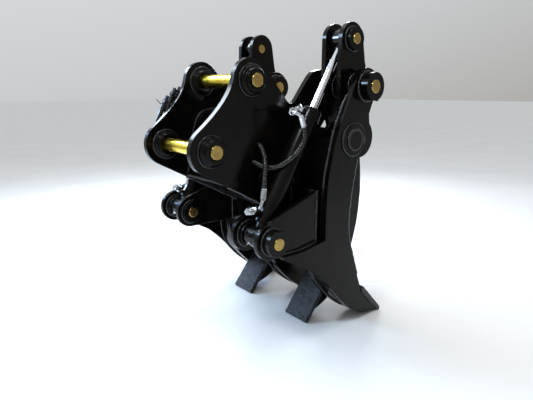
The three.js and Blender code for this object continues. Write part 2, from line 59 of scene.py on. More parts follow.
# ---------------------------------------------------------------- places, in mm from the lower hitch pin
def middle(node):
    low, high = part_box(node)
    return (low + high) / 2


ORIGIN = middle("hitch_pin_lower")
SIDES = ((1, "right"), (-1, "left"))


def at(x, y, z):
    """A point in metres, from millimetres about the lower hitch pin."""
    return ORIGIN + Vector((x, y, z)) / 1000


def on_side(side, point):
    """The same for a point drawn on the right, mirrored where side is -1."""
    return at(side * point[0], point[1], point[2])


def yz(node):
    """The middle of a node, seen from the side."""
    place = (middle(node) - ORIGIN) * 1000
    return place.y, place.z


def plate_faces(node):
    """How far the two faces of a right-hand plate are from the middle plane."""
    low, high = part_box(node)
    return low.x * 1000, high.x * 1000


# Axes along X, as (y, z)
LOWER_HITCH = (0.0, 0.0)
UPPER_HITCH = yz("hitch_pin_upper")
MAIN_PIVOT = yz("main_pivot_pin_right")
TORQUE_SHAFT = yz("torque_shaft")
FOOT = yz("cylinder_foot_pin_right")
ROD_PIN = yz("rod_pin_right")
JAW_TUBE = yz("jaw_cross_tube")
CYLINDER_X = middle("cylinder_barrel_right").x * 1000

# Plates and a bar, as the distances of their two sides from the middle plane
INNER_PLATE = plate_faces("tine_inner_plate_right")
MIDDLE_PLATE = plate_faces("middle_tine_plate_right")
JAW_INNER_PLATE = plate_faces("jaw_inner_plate_right")
JAW_OUTER_PLATE = plate_faces("jaw_outer_plate_right")
WEAR_BAR = plate_faces("tine_wear_bar_right")

# The same for plates whose nodes also hold bosses
EAR = (192, 220)
OUTER_PLATE = (440, 470)
ARM_PLATES = ((242, 267), (415, 440))
LEVER = (378, 402)

# Round things that the welds go round
HITCH_BOSS_RADIUS = 68
EAR_PIVOT_RADIUS = 66
OUTER_PIVOT_RADIUS = 67
SHAFT_BOSS_RADIUS = 75
SHAFT_RADIUS = 48
SHAFT_END = 486
HUB_RADIUS = 60
FOOT_BOSS_RADIUS = 60
LEVER_BOSS_RADIUS = 54
JAW_TUBE_RADIUS = 55

# Lines in the Y-Z plane
SHELL_FRONT = [(598, 39), (545, 26), (516, -49), (502, -119), (492, -196), (490, -300), (490, -475)]
ARM_FRONT = [(649, 226), (622, 234), (543, 83), (505, -49), (488, -119), (479, -191)]
ARM_FOOT = [(206, -465), (341, -466), (438, -451)]
ARM_BACK = [(438, -207), (438, -474)]
BEAM_FACE = [(438, -476), (438, -196)]
BOTTOM_PLATE = [(110, -178), (436, -350)]
BAR_START = Vector((772, -791))
BAR_DIRECTION = Vector((0.689, -0.725))
PAD_TIP = Vector((503.7, -946.5))
PAD_DIRECTION = Vector((0.615, 0.788))
PAD_LENGTH = 300
PAD_THICKNESS = 25


def catmull(points, steps):
    """Points along a smooth curve through the given ones."""
    points = [Vector(p) for p in points]
    ends = [points[0] * 2 - points[1]] + points + [points[-1] * 2 - points[-2]]
    out = []
    for i in range(steps + 1):
        t = i / steps * (len(points) - 1)
        k = min(int(t), len(points) - 2)
        u = t - k
        a, b, c, d = ends[k:k + 4]
        out.append(0.5 * ((2 * b) + (c - a) * u + (2 * a - 5 * b + 4 * c - d) * u * u
                          + (3 * b - a - 3 * c + d) * u ** 3))
    return out


def offset(points, distance):
    """Moves an open Y-Z line sideways: positive is to its left."""
    out = []
    for i, p in enumerate(points):
        along = Vector(points[min(i + 1, len(points) - 1)]) - Vector(points[max(i - 1, 0)])
        along.normalize()
        out.append(Vector(p) + Vector((-along.y, along.x)) * distance)
    return out


TINE_MOUTH = catmull([(687, -66), (666, -160), (649, -263), (641, -377), (657, -483), (697, -597),
                      (742, -712), (772, -791)], 28)
TINE_BACK = catmull([(478, -477), (487, -600), (515, -690), (560, -752), (600, -797), (650, -843),
                     (718, -895), (782, -930)], 28)
JAW_MOUTH = catmull([(762, -98), (775, -220), (778, -350), (770, -500), (748, -625), (714, -714)], 28)
JAW_BACK = catmull([(926, -98), (943, -264), (930, -431), (905, -540), (865, -655), (800, -770),
                    (715, -862), (640, -898)], 28)
COVER = catmull([(118, -165), (140, -90), (152, -20), (160, 46), (184, 114), (226, 156), (300, 165),
                 (400, 165), (462, 152), (508, 105), (549, 31)], 40)


# ---------------------------------------------------------------- camera
CAMERA_PLACE = (1869, -1077, 257)
CAMERA_TILT = 76.44  # degrees from straight down
CAMERA_TURN = 49.85
CAMERA_LENS = 30.39


def make_camera():
    data = bpy.data.cameras.new("camera")
    data.sensor_width = 36
    data.lens = CAMERA_LENS
    camera = bpy.data.objects.new("camera", data)
    camera.location = at(*CAMERA_PLACE)
    camera.rotation_euler = (math.radians(CAMERA_TILT), 0, math.radians(CAMERA_TURN))
    bpy.context.scene.collection.objects.link(camera)
    bpy.context.scene.camera = camera


make_camera()


# ---------------------------------------------------------------- materials
class Nodes:
    """A new material, with a short way to write its node tree."""

    def __init__(self, name):
        self.material = bpy.data.materials.new(name)
        self.material.use_nodes = True
        self.tree = self.material.node_tree
        self.shader = self.tree.nodes["Principled BSDF"]
        self.place = self.new("ShaderNodeTexCoord").outputs["Object"]

    def new(self, kind, **values):
        """A node, with values for its inputs or, where it has no such input, its settings."""
        node = self.tree.nodes.new(kind)
        for key, value in values.items():
            if key in node.inputs:
                node.inputs[key].default_value = value
            else:
                setattr(node, key, value)
        return node

    def link(self, output, target):
        self.tree.links.new(output, target)

    def set(self, **values):
        """Values that are the same all over the surface, straight on the shader."""
        for key, value in values.items():
            self.shader.inputs[key.replace("_", " ")].default_value = value

    def drive(self, **outputs):
        """Links outputs to the shader's inputs of these names."""
        for key, output in outputs.items():
            self.link(output, self.shader.inputs[key.replace("_", " ")])

    def noise(self, scale, detail=3.0, rough=0.55, stretch=(1, 1, 1)):
        mapping = self.new("ShaderNodeMapping", Scale=stretch)
        self.link(self.place, mapping.inputs["Vector"])
        node = self.new("ShaderNodeTexNoise", Scale=scale, Detail=detail, Roughness=rough)
        self.link(mapping.outputs[0], node.inputs["Vector"])
        return node.outputs["Fac"]

    def ramp(self, factor, *stops):
        """Colours or grey levels at positions from 0 to 1."""
        node = self.new("ShaderNodeValToRGB")
        elements = node.color_ramp.elements
        while len(elements) < len(stops):
            elements.new(0.5)
        for element, (position, value) in zip(elements, stops):
            element.position = position
            element.color = (*value, 1) if isinstance(value, tuple) else (value, value, value, 1)
        self.link(factor, node.inputs["Fac"])
        return node.outputs["Color"]

    def blend(self, factor, a, b):
        """Mixes two colours or outputs: a where factor is 0, b where it is 1."""
        node = self.new("ShaderNodeMix", data_type="RGBA")
        for socket, value in ((0, factor), (6, a), (7, b)):
            if isinstance(value, tuple):
                node.inputs[socket].default_value = (*value, 1)
            else:
                self.link(value, node.inputs[socket])
        return node.outputs[2]

    def bump(self, *layers):
        """Layers of (height output, strength, distance in metres), the last on top."""
        normal = None
        for height, strength, distance in layers:
            node = self.new("ShaderNodeBump", Strength=strength, Distance=distance)
            self.link(height, node.inputs["Height"])
            if normal:
                self.link(normal, node.inputs["Normal"])
            normal = node.outputs["Normal"]
        self.drive(Normal=normal)


def paint_look(n):
    """Colour and roughness of thick gloss black enamel: rolled streaks in roughness, the same upright
    streaks in tone, from blue-black to brown, as painted reflection streaks, faint dust, fine specks.
    """
    dust = n.ramp(n.noise(5.5, 6, 0.62), (0.44, 0.0), (0.8, 1.0))
    streaks_and_reflection = n.ramp(n.noise(9, 4, 0.6, (3.2, 3.2, 0.35)), (0.3, 0.0), (0.75, 1.0))
    speck = n.ramp(n.noise(260, 2, 0.6), (0.68, 0.0), (0.76, 1.0))
    # Painted reflection: upright streaks of brown tone over the blue-black.
    body = n.blend(streaks_and_reflection, (0.0009, 0.0010, 0.0015), (0.0034, 0.0027, 0.0020))
    dusty = n.blend(dust, body, (0.0062, 0.0050, 0.0038))
    colour = n.blend(speck, dusty, (0.022, 0.021, 0.019))
    rough = n.blend(dust, n.ramp(streaks_and_reflection, (0.0, 0.10), (1.0, 0.19)), (0.30, 0.30, 0.30))
    return colour, rough


def gloss_paint():
    n = Nodes("gloss_paint")
    colour, rough = paint_look(n)
    n.drive(Base_Color=colour, Roughness=rough)
    n.set(IOR=1.38, Specular_IOR_Level=0.23)
    n.bump((n.noise(75, 2, 0.5), 0.12, 0.0012), (n.noise(7, 3, 0.5, (2.5, 2.5, 0.5)), 0.25, 0.004))
    return n.material


def weld_paint():
    """The same enamel over weld metal: wetter, with brighter ripples."""
    n = Nodes("weld_paint")
    shade = n.noise(90, 4, 0.6)
    n.drive(Base_Color=n.ramp(shade, (0.3, (0.002, 0.0022, 0.003)), (0.75, (0.007, 0.0074, 0.009))),
            Roughness=n.ramp(shade, (0.3, 0.05), (0.75, 0.14)))
    n.set(IOR=1.5)
    n.bump((n.noise(380, 3, 0.6), 0.5, 0.0012))
    return n.material


def wear_steel():
    """Rolled wear plate under thin paint: coarse mill scale with glints."""
    n = Nodes("wear_steel")
    cells = n.new("ShaderNodeTexVoronoi", Scale=170.0, feature="F1")
    n.link(n.place, cells.inputs["Vector"])
    grain = n.ramp(cells.outputs["Distance"], (0.1, 0.0), (0.6, 1.0))
    patches = n.ramp(n.noise(38, 6, 0.7), (0.38, 0.0), (0.66, 1.0))
    base = n.blend(patches, (0.002, 0.0026, 0.005), (0.010, 0.012, 0.020))
    n.drive(Base_Color=n.blend(grain, base, (0.006, 0.007, 0.011)),
            Roughness=n.ramp(patches, (0.0, 0.14), (1.0, 0.38)))
    n.set(IOR=1.38)
    n.bump((n.noise(120, 5, 0.75), 0.9, 0.0045), (grain, 0.35, 0.0016), (n.noise(14, 3, 0.5), 0.3, 0.004))
    return n.material


def gold_zinc():
    """Yellow passivated zinc, with painted light: brighter yellow where a pin spans the gap between the
    ears, as if lit there, and painted shade, a darker yellow, at its ends.
    """
    n = Nodes("gold_zinc")
    # Painted light: the bright yellow of a pin where it shows between the ears.
    lit_yellow = n.ramp(n.noise(16, 3, 0.5), (0.25, (0.70, 0.45, 0.05)), (0.5, (0.80, 0.60, 0.06)),
                  (0.8, (0.72, 0.48, 0.06)))
    # Painted shade: the darker yellow of a pin's ends.
    shaded_yellow = n.ramp(n.noise(46, 3, 0.5), (0.3, (0.34, 0.235, 0.075)), (0.75, (0.46, 0.33, 0.11)))
    split = n.new("ShaderNodeSeparateXYZ")
    n.link(n.place, split.inputs[0])
    outwards = n.new("ShaderNodeMath", operation="ABSOLUTE")
    n.link(split.outputs["X"], outwards.inputs[0])
    # Mask of the painted light and shade: 0 between the ears, 1 at a pin's ends.
    shaded_ends = n.ramp(outwards.outputs[0], (0.155, 0.0), (0.16, 1.0))
    n.drive(Base_Color=n.blend(shaded_ends, lit_yellow, shaded_yellow),
            Roughness=n.ramp(n.noise(30, 3, 0.5), (0.3, 0.20), (0.75, 0.30)))
    n.set(Metallic=1.0)
    n.bump((n.noise(150, 2, 0.5, (9, 1, 1)), 0.08, 0.0006))
    return n.material


def from_rod_pin(n):
    """The distance from the rod pins' axis, in metres."""
    away = n.new("ShaderNodeVectorMath", operation="SUBTRACT")
    n.link(n.place, away.inputs[0])
    away.inputs[1].default_value = at(0, *ROD_PIN)
    across = n.new("ShaderNodeVectorMath", operation="MULTIPLY")
    n.link(away.outputs[0], across.inputs[0])
    across.inputs[1].default_value = (0, 1, 1)
    length = n.new("ShaderNodeVectorMath", operation="LENGTH")
    n.link(across.outputs[0], length.inputs[0])
    return length.outputs["Value"]


def chrome():
    """Ground hard chrome with faint polish marks and oil, and a painted eye at the top of the rod."""
    n = Nodes("chrome")
    oil = n.ramp(n.noise(20, 4, 0.6), (0.5, 0.0), (0.8, 1.0))
    metal = n.blend(oil, (0.80, 0.83, 0.88), (0.60, 0.60, 0.60))
    colour, rough = paint_look(n)
    bare = n.ramp(from_rod_pin(n), (0.060, 0.0), (0.062, 1.0))
    n.drive(Base_Color=n.blend(bare, colour, metal),
            Roughness=n.blend(bare, rough, n.ramp(oil, (0.0, 0.07), (1.0, 0.18))), Metallic=bare)
    n.bump((n.noise(180, 2, 0.5, (1, 2, 6)), 0.05, 0.0005))
    return n.material


def bright_zinc():
    """Clear zinc plate on fittings: bright, a little cloudy."""
    n = Nodes("bright_zinc")
    cloud = n.noise(60, 5, 0.6)
    n.drive(Base_Color=n.ramp(cloud, (0.3, (0.46, 0.48, 0.51)), (0.7, (0.64, 0.66, 0.68))),
            Roughness=n.ramp(cloud, (0.3, 0.12), (0.7, 0.22)))
    n.set(Metallic=1.0)
    n.bump((n.noise(420, 3, 0.6), 0.07, 0.0005))
    return n.material


def hose_guard():
    """Black nylon spiral guard with rub marks."""
    n = Nodes("hose_guard")
    rub = n.ramp(n.noise(48, 5, 0.65), (0.45, 0.0), (0.75, 1.0))
    n.drive(Base_Color=n.blend(rub, (0.006, 0.006, 0.0063), (0.03, 0.0291, 0.0276)),
            Roughness=n.ramp(rub, (0.0, 0.16), (1.0, 0.38)))
    n.bump((n.noise(600, 3, 0.6), 0.25, 0.0005))
    return n.material


PAINT = gloss_paint()
WELD = weld_paint()
ZINC = bright_zinc()
GUARD = hose_guard()
SLOT_MATERIAL = {"paint": PAINT, "wear_plate": wear_steel(), "zinc_gold": gold_zinc(), "chrome": chrome(),
                 "zinc": ZINC, "hose": GUARD}


# ---------------------------------------------------------------- the CAD nodes
def smooth_group():
    """Geometry nodes: smooth shading, kept sharp across edges over 32 degrees."""
    tree = bpy.data.node_groups.new("smooth_by_angle", "GeometryNodeTree")
    for way in ("INPUT", "OUTPUT"):
        tree.interface.new_socket("Geometry", in_out=way, socket_type="NodeSocketGeometry")
    new = tree.nodes.new
    start, end = new("NodeGroupInput"), new("NodeGroupOutput")
    surface, edges = new("GeometryNodeSetShadeSmooth"), new("GeometryNodeSetShadeSmooth")
    edges.domain = "EDGE"
    edges.inputs["Shade Smooth"].default_value = False
    angle, sharp = new("GeometryNodeInputMeshEdgeAngle"), new("FunctionNodeCompare")
    sharp.inputs["B"].default_value = math.radians(32)
    for output, target in ((start.outputs[0], surface.inputs["Geometry"]),
                           (surface.outputs[0], edges.inputs["Geometry"]),
                           (angle.outputs["Unsigned Angle"], sharp.inputs["A"]),
                           (sharp.outputs[0], edges.inputs["Selection"]),
                           (edges.outputs[0], end.inputs[0])):
        tree.links.new(output, target)
    return tree


SMOOTH = smooth_group()


def crisp(obj):
    """Smooth shading with sharp edges."""
    obj.modifiers.new("smooth", "NODES").node_group = SMOOTH


def soften(obj, width):
    """Rounds a CAD node's edges by modifiers, so that they catch the light as painted plate does."""
    weld = obj.modifiers.new("weld", "WELD")
    weld.merge_threshold = 1e-5
    flat = obj.modifiers.new("flat", "DECIMATE")
    flat.decimate_type = "DISSOLVE"
    flat.angle_limit = math.radians(1)
    bevel = obj.modifiers.new("bevel", "BEVEL")
    bevel.width = width
    bevel.segments = 3
    bevel.limit_method = "ANGLE"
    bevel.angle_limit = math.radians(34)
    crisp(obj)
    weighted = obj.modifiers.new("weighted", "WEIGHTED_NORMAL")
    weighted.keep_sharp = True


# Bevel widths, in metres
BOSS_EDGE = 0.005
SLOT_EDGE = {"paint": 0.003, "zinc_gold": 0.003}
FINE_EDGE = 0.0012


def finish_nodes():
    slots = {part["node"]: part["material_slot"] for part in frame["record"]["subparts"]}
    for name, obj in frame["nodes"].items():
        obj.data.materials.clear()
        obj.data.materials.append(SLOT_MATERIAL[slots[name]])
        soften(obj, BOSS_EDGE if "boss" in name else SLOT_EDGE.get(slots[name], FINE_EDGE))


finish_nodes()


# ---------------------------------------------------------------- making pieces
def piece(name, verts, loops, material, body, slot):
    """A new mesh object. It rides on its body, or on none where no body is given."""
    mesh = bpy.data.meshes.new(name)
    mesh.from_pydata([tuple(v) for v in verts], [], loops)
    mesh.polygons.foreach_set("use_smooth", [True] * len(loops))
    mesh.materials.append(material)
    mesh.update()
    obj = bpy.data.objects.new(name, mesh)
    bpy.context.scene.collection.objects.link(obj)
    if body:
        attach(obj, body)
    return obj


def resample(points, spacing, closed=False):
    """Points evenly spaced along a line, in metres."""
    points = [Vector(p) for p in points]
    if closed:
        points.append(points[0])
    lengths = [0.0]
    for a, b in zip(points, points[1:]):
        lengths.append(lengths[-1] + (b - a).length)
    count = max(4, round(lengths[-1] / spacing))
    out, k = [], 0
    for i in range(count + (0 if closed else 1)):
        want = lengths[-1] * i / count
        while k < len(lengths) - 2 and lengths[k + 1] < want:
            k += 1
        share = (want - lengths[k]) / max(lengths[k + 1] - lengths[k], 1e-9)
        out.append(points[k].lerp(points[k + 1], share))
    return out


def sweep(points, radius, sides, closed=False):
    """A tube along points. radius(i, angle) gives its size in metres. Returns vertices and faces."""
    count = len(points)
    verts, loops = [], []
    side = None
    for i, p in enumerate(points):
        before = points[(i - 1) % count] if closed or i else p
        after = points[(i + 1) % count] if closed or i < count - 1 else p
        along = (after - before).normalized()
        if side is None:
            side = along.orthogonal().normalized()
        side = (side - along * side.dot(along)).normalized()
        up = along.cross(side)
        for k in range(sides):
            turn = 2 * math.pi * k / sides
            verts.append(p + (side * math.cos(turn) + up * math.sin(turn)) * radius(i, turn))
    for i in range(count if closed else count - 1):
        for k in range(sides):
            a, b = i * sides + k, i * sides + (k + 1) % sides
            c, d = ((i + 1) % count) * sides + (k + 1) % sides, ((i + 1) % count) * sides + k
            loops.append((a, b, c, d))
    if not closed:
        loops.append(tuple(reversed(range(sides))))
        loops.append(tuple(range((count - 1) * sides, count * sides)))
    return verts, loops


def plain(radius):
    """For sweep: the same radius all along, in mm."""
    return lambda i, turn: radius / 1000


def turned(profile, centre, axis, sides=32):
    """A turned shape: profile is (radius, distance along the axis) in mm, with a flat face at each end."""
    axis = Vector(axis).normalized()
    side = axis.orthogonal().normalized()
    up = axis.cross(side)
    verts, loops = [], []
    for radius, along in profile:
        for k in range(sides):
            turn = 2 * math.pi * (k + 0.5) / sides
            verts.append(centre + axis * along / 1000
                         + (side * math.cos(turn) + up * math.sin(turn)) * radius / 1000)
    for i in range(len(profile) - 1):
        for k in range(sides):
            a, b = i * sides + k, i * sides + (k + 1) % sides
            loops.append((a, b, b + sides, a + sides))
    loops.append(tuple(reversed(range(sides))))
    loops.append(tuple(range((len(profile) - 1) * sides, len(profile) * sides)))
    return verts, loops


def gather(parts):
    """Several (vertices, faces) as one."""
    verts, loops = [], []
    for more_verts, more_loops in parts:
        start = len(verts)
        verts += more_verts
        loops += [tuple(i + start for i in loop) for loop in more_loops]
    return verts, loops


# ---------------------------------------------------------------- weld beads
BEAD_STEP = 2.6
BEAD_PITCH = 8.5  # from ripple to ripple
BEAD_FULLNESS = 1.15
SWELL_STEPS = 9  # steps from one random thickness to the next
PROUD = 1.5  # how far a bead's middle stands off its plate


def bead_shape(points, size, closed):
    """A weld bead of stacked ripples along points, with a radius of about size, in mm."""
    line = resample(points, BEAD_STEP / 1000, closed)
    start = rng.uniform(0, 6)
    swell = [rng.uniform(0.72, 1.25) for _ in range(len(line) // SWELL_STEPS + 3)]

    def radius(i, turn):
        along = i * BEAD_STEP / BEAD_PITCH + 0.35 * math.cos(turn)
        ripple = 0.85 + 0.6 * abs(math.sin(math.pi * along + start))
        k, share = i // SWELL_STEPS, (i % SWELL_STEPS) / SWELL_STEPS
        level = swell[k] * (1 - share) + swell[k + 1] * share
        return size * BEAD_FULLNESS / 1000 * ripple * level

    return sweep(line, radius, 8, closed)


def circle(x, centre, radius, start=0, end=360):
    """Points round an axis along X, between two angles; a whole turn doesn't repeat its first point."""
    steps = max(12, int(abs(end - start) / 6))
    out = []
    for i in range(steps if end - start == 360 else steps + 1):
        turn = math.radians(start + (end - start) * i / steps)
        out.append(at(x, centre[0] + radius * math.cos(turn), centre[1] + radius * math.sin(turn)))
    return out


def ring(x, centre, radius, size):
    """A bead right round an axis."""
    return circle(x, centre, radius), size, True


def seam(x, points, size):
    """A bead along a Y-Z line in the plane at x."""
    return [at(x, p[0], p[1]) for p in points], size, False


def proud(plate):
    """Where beads lie on a plate's inner and outer face."""
    return plate[0] - PROUD, plate[1] + PROUD


def along_bar(distance, height):
    normal = Vector((-BAR_DIRECTION.y, BAR_DIRECTION.x))
    return BAR_START + BAR_DIRECTION * distance + normal * height


def along_pad(distance, depth):
    normal = Vector((PAD_DIRECTION.y, -PAD_DIRECTION.x))
    return PAD_TIP + PAD_DIRECTION * distance + normal * depth


def frame_welds(side):
    """Rings round the bosses, and the cover's, the shell's and the bottom plate's joints to the ears."""
    inside, outside = side * (EAR[0] - 2), side * (EAR[1] + 2)
    work = []
    for axis in (LOWER_HITCH, UPPER_HITCH):
        work += [ring(x, axis, HITCH_BOSS_RADIUS + 2, 4.5) for x in (outside, inside)]
    work.append(ring(inside, MAIN_PIVOT, EAR_PIVOT_RADIUS + PROUD, 4.5))
    work.append(seam(side * (EAR[0] - 2.5), offset(COVER, 2.5), 5.5))
    shell = catmull(offset(SHELL_FRONT[:5], -2.5), 16)  # down to the top of the beam
    work += [seam(x, shell, 5) for x in (outside, inside)]
    work.append(seam(inside, BOTTOM_PLATE, 5))
    return work


def fixed_jaw_welds(side):
    """Rings on the outer plate and shaft, the shell's and arm's joints, then the tine boxes and bars."""
    inside, outside = (side * x for x in (OUTER_PLATE[0] - PROUD, OUTER_PLATE[1] + PROUD))
    lump = [on_side(side, p) for p in ((473, 718, 8), (474, 722, 30), (473, 719, 54))]
    work = [
        ring(outside, MAIN_PIVOT, OUTER_PIVOT_RADIUS + PROUD, 5),
        ring(outside, TORQUE_SHAFT, SHAFT_BOSS_RADIUS + 2, 5.5),
        ring(side * (SHAFT_END - 3), TORQUE_SHAFT, SHAFT_RADIUS + 2, 5),
        (lump, 8, False),
        seam(inside, catmull(offset(SHELL_FRONT, -3), 24), 6.5),
        seam(side * (OUTER_PLATE[0] + 2), catmull(ARM_FRONT, 24), 6),
        seam(inside, BEAM_FACE, 5),
        seam(side * (OUTER_PLATE[0] + PROUD), ARM_FOOT, 4.5),
    ]
    mouth = TINE_MOUTH[:24]  # ends short of the wear bar
    for x in (OUTER_PLATE[1] - 3, INNER_PLATE[1] - PROUD):
        work.append(seam(side * x, offset(mouth, 2), 5))
    for x in (OUTER_PLATE[0] - PROUD, INNER_PLATE[1] + PROUD):
        work.append(seam(side * x, offset(TINE_BACK, 6), 4.5))
    work.append(seam(side * (MIDDLE_PLATE[0] + PROUD), offset(mouth, 1), 4))
    work.append(seam(side * (MIDDLE_PLATE[0] - PROUD), offset(TINE_BACK, 6), 4))
    plate_sides = (INNER_PLATE[0] - 1, INNER_PLATE[1] + PROUD, MIDDLE_PLATE[1] + PROUD,
                   MIDDLE_PLATE[0] - PROUD, OUTER_PLATE[0] - PROUD)
    for x in plate_sides:
        work.append((circle(side * x, TORQUE_SHAFT, SHAFT_RADIUS + 2, -60, 140), 4, False))
    bar_joint = [along_bar(4, -1), along_bar(150, -1)]
    for x in (WEAR_BAR[0] + 2.5, WEAR_BAR[1] - 2.5, MIDDLE_PLATE[1] + 2):
        work.append(seam(side * x, bar_joint, 4.5))
    return work


def arm_welds(side):
    """Rings round the foot bosses, and the arms' joints to the beam where the outer plate leaves room."""
    work = []
    for plate in ARM_PLATES:
        for x in proud(plate):
            work.append(ring(side * x, FOOT, FOOT_BOSS_RADIUS + PROUD, 4.5))
            if x < OUTER_PLATE[0]:
                work.append(seam(side * x, ARM_BACK, 5))
    return work


def moving_jaw_welds(side):
    """Rings on the hubs, lever bosses and cross tube, then the tine boxes and wear pads."""
    inner, outer, lever = proud(JAW_INNER_PLATE), proud(JAW_OUTER_PLATE), proud(LEVER)
    work = [ring(side * x, MAIN_PIVOT, HUB_RADIUS + PROUD, 4.5) for x in (*outer, *lever)]
    work.append(ring(side * lever[1], ROD_PIN, LEVER_BOSS_RADIUS + PROUD, 4.5))
    work += [ring(side * x, JAW_TUBE, JAW_TUBE_RADIUS + PROUD, 4.5) for x in (*inner, outer[0])]
    for x in (inner[1], outer[0]):
        work.append(seam(side * x, offset(JAW_BACK, -6), 4))
    mouth = JAW_MOUTH[:22]  # ends short of the wear pad
    for x in (JAW_INNER_PLATE[1] - PROUD, JAW_OUTER_PLATE[0] + PROUD):
        work.append(seam(side * x, offset(mouth, -1), 4))
    pad_joint = [along_pad(distance, PAD_THICKNESS + 2) for distance in (30, PAD_LENGTH - 4)]
    for x in (inner[0], outer[1]):
        work.append(seam(side * x, pad_joint, 5))
    return work


WELD_GROUPS = (("frame_welds", "frame", frame_welds), ("tine_welds", "frame", fixed_jaw_welds),
               ("arm_welds", "frame", arm_welds), ("jaw_welds", "jaw", moving_jaw_welds))


def make_welds():
    for side, label in SIDES:
        for name, body, beads in WELD_GROUPS:
            shape = gather([bead_shape(*bead) for bead in beads(side)])
            piece(f"{name}_{label}", *shape, WELD, body, "paint")


make_welds()


# ---------------------------------------------------------------- hoses with spiral guard
HOSE_RADIUS = 12.3
HOSE_STEP = 1.6
LOWER_HOSE = [(332, 203, -212), (328, 209, -188), (322, 214, -160), (312, 226, -117), (300, 238, -72),
              (276, 253, -38), (246, 264, -8), (222, 269, 11), (188, 272, 16), (150, 292, 42),
              (112, 322, 76), (88, 334, 88), (61, 335, 90)]
UPPER_HOSE = [(388, 380, 136), (389, 388, 112), (390, 395, 84), (392, 396, 56), (394, 381, 22),
              (391, 351, -14), (379, 315, -46), (354, 286, -72), (316, 270, -86), (284, 262, -88),
              (252, 247, -78), (224, 238, -68), (188, 240, -64), (150, 272, -26), (116, 330, 54),
              (90, 366, 88), (61, 368, 90)]
GUARD_PITCH = 14.0
GUARD_DEPTH = 2.2
GUARD_GAP = 0.16  # half the gap between turns, as a share of the pitch


def make_hose(label, side, place, route):
    points = [on_side(side, p) for p in catmull(route, 220)]
    line = resample(points, HOSE_STEP / 1000)

    def size(i, turn):
        """A flat strip wound round the hose, with a narrow open gap between its turns."""
        phase = (i * HOSE_STEP / GUARD_PITCH + turn / (2 * math.pi)) % 1
        edge = min(phase, 1 - phase) / GUARD_GAP
        return (HOSE_RADIUS - GUARD_DEPTH * max(0.0, 1 - edge * edge)) / 1000

    obj = piece(f"guarded_hose_{place}_{label}", *sweep(line, size, 20), GUARD, None, "hose")
    ear_hole = next(p for p in route if p[0] < EAR[1] + HOSE_RADIUS)
    tuple(points[0])
    tuple(on_side(side, ear_hole))
    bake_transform(obj)
    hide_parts(f"hose_{place}_{label}")


# ---------------------------------------------------------------- hydraulic fittings
AXIS = (Vector((0, *ROD_PIN)) - Vector((0, *FOOT))).normalized()
FRONT = Vector((0, -AXIS.z, AXIS.y))


def on_cylinder(side, height, out):
    """A point beside the cylinder: height up from the foot pin, out to the front of its axis."""
    return at(side * CYLINDER_X, *FOOT) + (AXIS * height + FRONT * out) / 1000


def hex_nut(centre, axis, across, length):
    half = across / 2 / math.cos(math.pi / 6)
    return turned([(half * 0.86, 0), (half, 2), (half, length - 2), (half * 0.86, length)], centre, axis, 6)


def ferrule(start, axis):
    """The sleeve crimped on the end of a hose, with four raised bands."""
    profile = [(9, -6), (12, -5), (12.5, 0)]
    for i in range(4):
        base = 2 + i * 11
        profile += [(15.2, base), (15.2, base + 7), (14.0, base + 8), (14.0, base + 9.5)]
    profile += [(15.2, 47), (15.2, 50), (12.6, 51)]
    return turned(profile, start, axis, 24)


LOWER_BEND = [(340, 121, -256), (327, 118, -268), (319, 136, -284), (320, 164, -284), (326, 188, -262)]
UPPER_BEND = [(342, 372, 172), (356, 352, 164), (374, 356, 162), (386, 368, 154)]
BEND_RADIUS = 9.2
PORT_OUT = 72
# Place, height up the cylinder, swept tube, hose
PORTS = (("lower", 95, LOWER_BEND, LOWER_HOSE), ("upper", 618, UPPER_BEND, UPPER_HOSE))


def make_fitting(label, side, place, height, bend, hose):
    """Adapter on the port, swept tube, swivel nut, collar and ferrule."""
    port = on_cylinder(side, height, PORT_OUT)
    start = on_side(side, hose[0])
    into_hose = (on_side(side, hose[1]) - start).normalized()
    route = [port + FRONT * 0.012] + [on_side(side, p) for p in bend] + [start]
    neck = (route[2] - route[1]).normalized()
    parts = [
        hex_nut(port - FRONT * 0.001, FRONT, 36, 18),
        sweep(resample(catmull(route, 60), 0.003), plain(BEND_RADIUS), 16),
        hex_nut(route[1] + neck * 0.002, neck, 34, 18),
        turned([(10, 0), (13, 1), (13, 8), (10, 9)], route[1] + neck * 0.021, neck, 24),
        ferrule(start - into_hose * 0.012, into_hose),
    ]
    crisp(piece(f"hose_fitting_{place}_{label}", *gather(parts), ZINC, f"barrel_{label}", "zinc"))


def make_hydraulics():
    for side, label in SIDES:
        make_hose(label, side, "lower", LOWER_HOSE)
        make_hose(label, side, "upper", UPPER_HOSE)
        for place, height, bend, hose in PORTS:
            make_fitting(label, side, place, height, bend, hose)


make_hydraulics()


# ---------------------------------------------------------------- capped supply hoses outside the left ear
SUPPLY_HOSES = [
    [(-215, 170, -30), (-245, 140, -20), (-262, 6, 60), (-262, -5, 106), (-262, 15, 150), (-262, 37, 190)],
    [(-215, 200, 0), (-240, 170, 20), (-250, 42, 104), (-250, 43, 160), (-250, 62, 205), (-250, 75, 229)],
    [(-215, 230, 20), (-250, 190, 40), (-268, 94, 137), (-268, 98, 199), (-268, 114, 234)],
]
SUPPLY_RADIUS = 11.5
TIE = [(-276, 66, 174), (-276, 27, 195), (-276, 1, 220)]
TIE_RADIUS = 2.2


